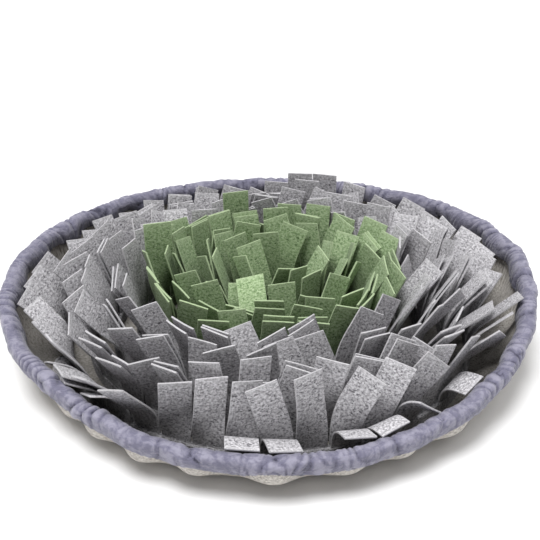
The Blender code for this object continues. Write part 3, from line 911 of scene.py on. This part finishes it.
def felt_base():
    rng = random.Random(BASE_SEED)
    azimuths = np.arange(BASE_STEPS) * 360 / BASE_STEPS
    sections = []
    for azimuth in azimuths:
        line = curve_through(wall_line(azimuth), WALL_POINTS)
        under = np.array(offset_line(line, BASE_THICK / 2))
        over = np.array(offset_line(line, -BASE_THICK / 2))
        under[0], over[0] = (FLAT_RADIUS, 0), (FLAT_RADIUS, BASE_THICK)
        last = line[-1:] - line[-2:-1]
        edge = line[-1:] + last / np.linalg.norm(last) * EDGE_ROUND
        inner = [(share * FLAT_RADIUS, 0.0) for share in FLAT_SHARES]
        outer = [(r, BASE_THICK) for r, _ in inner]
        sections.append(np.vstack([inner, under, edge, over[::-1], outer[::-1]]))
    sections = np.array(sections)
    rise = np.clip(sections[..., 1] / LUMP_RISE, 0, 1)
    low, high = [ripple(rng, azimuths, LUMPS, LUMP_HEIGHT)[:, None] for _ in range(2)]
    lumps = rise * (low + rise * high)
    sections[..., 0] += np.clip(lumps, -LUMP_LIMIT, LUMP_LIMIT)
    points = spun(sections, azimuths)
    cloth = points[..., :2] * (1 + STRETCH * rise)[..., None]
    count = sections.shape[1]
    faces = grid_faces(BASE_STEPS, count, True, False)
    faces.append(tuple(i * count for i in range(BASE_STEPS))[::-1])
    faces.append(tuple(i * count + count - 1 for i in range(BASE_STEPS)))
    rim = np.zeros(points.shape[:2])
    middle = count // 2
    rim[:, middle - 1 : middle + 2] = 1
    inside = np.arange(count) > middle
    # Painted shade: the dish's inside is darkened among the strips, fading out towards the casing.
    tone = 1 - DUSK * inside * np.clip((OPEN_RADIUS - sections[..., 0]) / OPEN_WIDTH, 0, 1)
    part = part_of(points, faces, cloth, rim, tone)
    made = add_piece("felt_base", [part], felt_material("felt_base"), "base")
    walls = [np.array(wall_line(azimuth)) for azimuth in range(0, 360, CUT_STEP)]


# ---- the gathered casing ----

CASING_SEED = 7
CREASE_SEED = 11
CASING_STEPS = 1260
CASING_POINTS = 4  # from one row of the casing's section to the next
OUTSIDE_ROWS = 7  # of the section, from the outer hem to the inner one
CASING_LINE = 210 * MM  # the casing's radius, for lengths along it
CASING_WAVES = 30
CASING_RIPPLE = 0.5 * MM
HEM_SHARE = 0.08  # of the way from hem to hem, which the hem's own ripple takes at each end
CREASE_START = 0.34  # how much painted shade the cloth's own line has, from 0 for the ridges' painted highlight to 1 for a crease
CREASE_DEPTH = 3.0 * MM  # how deep a fold is drawn in for its painted shade to go from 0 to 1
CASING_SHADE = 0.45  # painted shade: how much the cloth's colour is darkened on the side towards the strips
SHADE_SHARE = 0.3  # of the way from hem to hem, over which it does
# The gathers: the way from one fold to the next along the casing, how deep they are, and how far
# a fold wanders from one hem to the other, in its own widths.
GatherRow = namedtuple("GatherRow", "pitch depth wander")
GATHERS = [
    GatherRow(17.0 * MM, 1.9 * MM, 1.6),
    GatherRow(8.0 * MM, 1.5 * MM, 1.8),
    GatherRow(3.8 * MM, 0.7 * MM, 2.0),
]
FOLD_WAVES = 12  # that make each row of gathers uneven
SLANT_WAVES = 8
FEWEST_TURNS = 3  # of such a wave, round the mat
WANDER_FOLDS = 3  # the folds in the shortest wave of their wander
SLANT_FOLDS = 4
STRENGTH_FOLDS = 2
FOLD_STRENGTH = 0.5  # a fold's depth, as a share of its row's
FOLD_CHANGE = 0.65  # how much that varies
FOLD_RANGE = (0.1, 1.4)
FOLD_MIDDLE = 0.75  # the share of a fold's depth that lies in from the cloth's own line
FOLD_POWER = 0.5  # below 1 for narrow creases between wide folds
SLOPE = 4  # radians of a wave from one hem to the other, at most
# How far in a fold can go before it meets the felt, at shares of the way from hem to hem.
FOLD_SHARES = (0.0, 0.15, 0.85, 1.0)
FOLD_ROOM = (0.5 * MM, 2.1 * MM, 2.1 * MM, 0.5 * MM)


def uneven(rng, azimuths, across, most_turns, count):
    """An uneven field over the casing, about 0 and mostly within 1: waves with random places."""
    total = np.zeros((len(azimuths), len(across)))
    for _ in range(count):
        turns = rng.randint(FEWEST_TURNS, most_turns)
        start, slope = rng.uniform(0, math.tau), rng.uniform(-SLOPE, SLOPE)
        total += np.sin(np.radians(azimuths)[:, None] * turns + start + slope * across[None, :])
    return total / math.sqrt(count / 2)


def crease_depths(azimuths, across):
    """How far the cloth is drawn in at each azimuth and share of the way from hem to hem."""
    rng = random.Random(CREASE_SEED)
    total = np.zeros((len(azimuths), len(across)))
    for row in GATHERS:
        folds = round(math.tau * CASING_LINE / row.pitch)
        wander = row.wander * uneven(rng, azimuths, across, folds // WANDER_FOLDS, FOLD_WAVES)
        slant = row.wander * uneven(rng, azimuths, np.zeros(1), folds // SLANT_FOLDS, SLANT_WAVES)
        slant = slant * (across - 0.5)[None, :]
        phase = np.radians(azimuths)[:, None] * folds / 2 + wander + slant
        strength = uneven(rng, azimuths, across, folds // STRENGTH_FOLDS, FOLD_WAVES)
        strength = np.clip(FOLD_STRENGTH + FOLD_CHANGE * strength, *FOLD_RANGE)
        total += row.depth * strength * (FOLD_MIDDLE - np.abs(np.sin(phase)) ** FOLD_POWER)
    return np.minimum(total, np.interp(across, FOLD_SHARES, FOLD_ROOM))


def rim_casing():
    rng = random.Random(CASING_SEED)
    azimuths = np.arange(CASING_STEPS) * 360 / CASING_STEPS
    sections = np.array([curve_through(casing_section(a), CASING_POINTS, True) for a in azimuths])
    count = sections.shape[1]
    outside = CASING_POINTS * OUTSIDE_ROWS
    position = np.arange(count)
    back = 1 - (position - outside) / (count - outside)
    across = np.where(position <= outside, position / outside, back)
    depth = crease_depths(azimuths, across)
    tangent = np.roll(sections, -1, axis=1) - np.roll(sections, 1, axis=1)
    tangent /= np.linalg.norm(tangent, axis=2, keepdims=True)
    normal = np.stack([tangent[..., 1], -tangent[..., 0]], axis=-1)
    facing = np.where(position <= outside, 1.0, -1.0)
    lift, sag = [ripple(rng, azimuths, CASING_WAVES, CASING_RIPPLE)[:, None] for _ in range(2)]
    lift = lift * np.sin(across * math.pi)
    sections = sections + normal * ((lift - depth) * facing)[..., None]
    hem = np.abs(across - 0.5) > 0.5 - HEM_SHARE
    sections[..., 1] += sag * hem
    points = spun(sections, azimuths)
    line = lengths_along(sections[0])
    cloth = crossed(np.radians(azimuths) * CASING_LINE, line)
    # Painted shade deep in the creases and painted highlight on the ridges, kept in the rim attribute
    # for the casing's colour.
    painted_fold_shading = np.clip(CREASE_START + depth / CREASE_DEPTH, 0, 1)
    # Painted shade on the side of the casing that faces the strips.
    tone = 1 - CASING_SHADE * np.clip((across - 0.5) / SHADE_SHARE, 0, 1)
    part = part_of(points, grid_faces(CASING_STEPS, count, True, True), cloth, painted_fold_shading, tone)
    made = add_piece("rim_casing_cloth", [part], casing_material(), "rim_casing")


# ---- the bands ----

BAND_SEED = 100
SUNK = 1 * MM  # how far a strip's root goes down into the uncut edge
SKEW = 3  # degrees that a strip's end may be cut off square
SKEW_POWER = 4  # how late along the strip it sets in
TIP_ROUND = 0.2 * MM
TIP_SQUEEZE = 0.55  # the share of the felt's thickness that is left there
SIDE_ROUND = 0.2 * MM
EDGE_LINE = 0.55 * MM  # how far in the lighter cut edge shows
EDGE_SHARE = 0.7  # how much of its colour shows there
INNER_COLUMNS = 6
SIDE_PLACE = 1.05  # the side's place on the cloth, in half widths
FAR_SIDE = 0.05  # metres on the cloth from a strip's one face to the other
CUP = 0.45 * MM  # how far a strip's middle stands out of line with its edges
CUP_CENTRE = 0.4  # the share of it that goes the other way
WAVE = 0.33 * MM  # how far the whole strip swings to one side and the other
WAVE_TURN = 3  # radians of a wave from root to tip
TONE = 0.10  # how much darker or lighter one strip is than another
DUSK_POWER = 1.6  # above 1 where the painted shade is mostly low down
ROOT_ROLL = 5  # metres of felt, along and across, that the uncut edges are cut from
STRIP_ROLL = 9


def strip_columns(width):
    """Places across a strip, as shares of half its width, and how far each is on the cut edge."""
    half = width / 2
    inner = np.linspace(-1, 1, INNER_COLUMNS + 1) * (half - EDGE_LINE) / half
    side = (half - SIDE_ROUND) / half
    on_edge = np.array([EDGE_SHARE, *[0] * len(inner), EDGE_SHARE])
    return np.concatenate([[-side], inner, [side]]), on_edge


def strip_part(strip, rng, offset):
    """A strip's surface: a thin slab that follows its spine, with rounded edges."""
    columns, on_edge = strip_columns(strip.width)
    half, thick = strip.width / 2, FELT / 2
    cup, wave = rng.uniform(-1, 1) * CUP, rng.uniform(-1, 1) * WAVE
    phase, skew = rng.uniform(0, math.tau), math.tan(math.radians(rng.uniform(-SKEW, SKEW)))
    spine = list(strip.spine)
    last, turn = spine[-1]
    spine.append((last + turn @ Vector((0, 0, TIP_ROUND)), turn))
    total = len(spine)
    rows = []
    for i, (place, turn) in enumerate(spine):
        share = min(1.0, i / (total - 2))
        squeeze = TIP_SQUEEZE if i == total - 1 else 1.0
        low = -SUNK if i == 0 else 0
        swing = wave * share * math.sin(phase + WAVE_TURN * share)
        bow = (columns**2 - CUP_CENTRE) * cup * share + swing
        side_bow = (1 - CUP_CENTRE) * cup * share + swing
        up = columns * half * skew * share**SKEW_POWER + low
        side_up = half * skew * share**SKEW_POWER
        top = np.stack([columns * half, bow + thick * squeeze, up], axis=1)
        bottom = np.stack([columns * half, bow - thick * squeeze, up], axis=1)
        right = [[half, side_bow, side_up + low]]
        left = [[-half, side_bow, -side_up + low]]
        local = np.vstack([top, right, bottom[::-1], left])
        rows.append(local @ np.array(turn.to_matrix()).T + np.array(place))
    points = np.array(rows)
    count = points.shape[1]
    faces = [face[::-1] for face in grid_faces(total, count, False, True)]
    side = len(columns)
    for end, order in ((0, -1), ((total - 1) * count, 1)):
        for i in range(side - 1):
            j = 2 * side - i
            faces.append((end + i, end + i + 1, end + j - 1, end + j)[::order])
        faces.append((end + side - 1, end + side, end + side + 1)[::order])
        faces.append((end + 2 * side + 1, end, end + 2 * side)[::order])
    across = np.concatenate([columns, [SIDE_PLACE], columns[::-1], [-SIDE_PLACE]]) * half
    across[side + 1 :] += FAR_SIDE
    cloth = crossed(lengths_along(points[:, 0]), across)[..., ::-1] + offset
    rim = np.tile([*on_edge, 1, *on_edge[::-1], 1], (total, 1))
    rim[-2] = np.maximum(rim[-2], EDGE_SHARE)
    rim[-1] = 1
    down = 1 - np.linspace(0, 1, total)[:, None]
    # Each strip's own random tone, times painted shade that darkens it towards its root.
    tone = (1 + rng.uniform(-1, 1) * TONE) * (1 - DUSK * down**DUSK_POWER)
    return part_of(points, faces, cloth, rim, tone)


ROOT_ROUND = 0.8 * MM
GROOVE = 0.6 * MM  # half its width
GROOVE_DEPTH = 1.6 * MM
OUTER_LAYER = [
    (ROOT_THICK / 2, 0.0),
    (ROOT_THICK / 2, ROOT_HEIGHT - ROOT_ROUND),
    (ROOT_THICK / 2 - ROOT_ROUND, ROOT_HEIGHT),
    (GROOVE, ROOT_HEIGHT),
]
INNER_LAYER = [(-out, up) for out, up in reversed(OUTER_LAYER)]
ROOT_SECTION = OUTER_LAYER + [(0.0, ROOT_HEIGHT - GROOVE_DEPTH)] + INNER_LAYER
SIDE_STEPS = 6  # along each strip's width of the uncut edge
SMOOTHINGS = 2  # of its corners


def root_part(ring, offset):
    """A band's uncut edge, folded double: two layers side by side, with a groove between them."""
    count = ring.strips * SIDE_STEPS
    azimuths = np.array([cell_azimuth(ring, i / SIDE_STEPS - 0.5) for i in range(count)])
    half = math.pi / ring.strips
    away = (np.arange(count) % SIDE_STEPS) / SIDE_STEPS * 2 * half - half
    straight = apothem(ring) / np.cos(away)
    for _ in range(SMOOTHINGS):
        straight = (np.roll(straight, 1) + 2 * straight + np.roll(straight, -1)) / 4
    section = np.array(ROOT_SECTION)
    sections = straight[:, None, None] * np.array([1.0, 0.0]) + section
    sections[..., 1] += BASE_THICK + GAP
    points = spun(sections, azimuths)
    points[..., 1] += ring.shift
    along = np.arange(count) * STRIP_PITCH / SIDE_STEPS
    cloth = crossed(along, lengths_along(section)) + offset
    # The uncut edge gets the full painted shade of the depths among the strips.
    return part_of(points, grid_faces(count, len(section), True, True), cloth, 0.0, 1 - DUSK)


BAND_SLOTS = {"grey": "felt_heather_grey", "green": "felt_sage_green"}


def add_band(ring, strips, material):
    rng = random.Random(BAND_SEED + RINGS.index(ring))
    parts = [root_part(ring, rng.uniform(0, ROOT_ROLL))]
    for strip in strips:
        offset = np.array([rng.uniform(0, STRIP_ROLL) for _ in range(2)])
        parts.append(strip_part(strip, rng, offset))
    made = add_piece("felt_" + ring.name, parts, material, ring.name)


# ---- floor and light ----

FLOOR_REACH = 20  # metres
FLOOR_COLOUR = (0.90, 0.90, 0.90, 1)
FLOOR_ROUGHNESS = 0.9
SKY_STRENGTH = 0.27
# Distant lamps, each soft over an angle in degrees, that shine from a place to the mat.
LightRow = namedtuple("LightRow", "name place soft strength")
LIGHTS = [
    LightRow("key", Vector((-0.24, -0.18, 1.35)), 28, 3.1),
    LightRow("fill", Vector((0.60, 0.05, 1.20)), 30, 0.55),
]


def add_light(row):
    light = bpy.data.lights.new(row.name, "SUN")
    light.energy = row.strength
    light.angle = math.radians(row.soft)
    made = added(row.name, light)
    made.location = row.place
    made.rotation_euler = (LOOK_AT - made.location).to_track_quat("-Z", "Y").to_euler()


def add_studio():
    mesh = bmesh.new()
    bmesh.ops.create_grid(mesh, x_segments=2, y_segments=2, size=FLOOR_REACH)
    data = bpy.data.meshes.new("floor")
    mesh.to_mesh(data)
    mesh.free()
    shader = Shader("floor_white")
    shader.put(shader.surface.inputs["Base Color"], FLOOR_COLOUR)
    shader.put(shader.surface.inputs["Roughness"], FLOOR_ROUGHNESS)
    data.materials.append(shader.material)
    floor = added("floor", data)
    world = bpy.data.worlds.new("studio")
    world.use_nodes = True
    sky = world.node_tree.nodes["Background"].inputs
    sky["Color"].default_value = (1, 1, 1, 1)
    sky["Strength"].default_value = SKY_STRENGTH
    bpy.context.scene.world = world
    for row in LIGHTS:
        add_light(row)
    bpy.context.scene.view_settings.view_transform = "Standard"


def main():
    add_camera()
    add_studio()
    felt_base()
    rim_casing()
    obstacles = [swept(base_section, closed=False), swept(casing_section, closed=True)]
    placed = placed_strips([BVHTree.FromBMesh(mesh) for mesh in obstacles])
    materials = {colour: felt_material(slot) for colour, slot in BAND_SLOTS.items()}
    for ring in RINGS:
        add_band(ring, placed[ring.name], materials[ring.colour])


main()
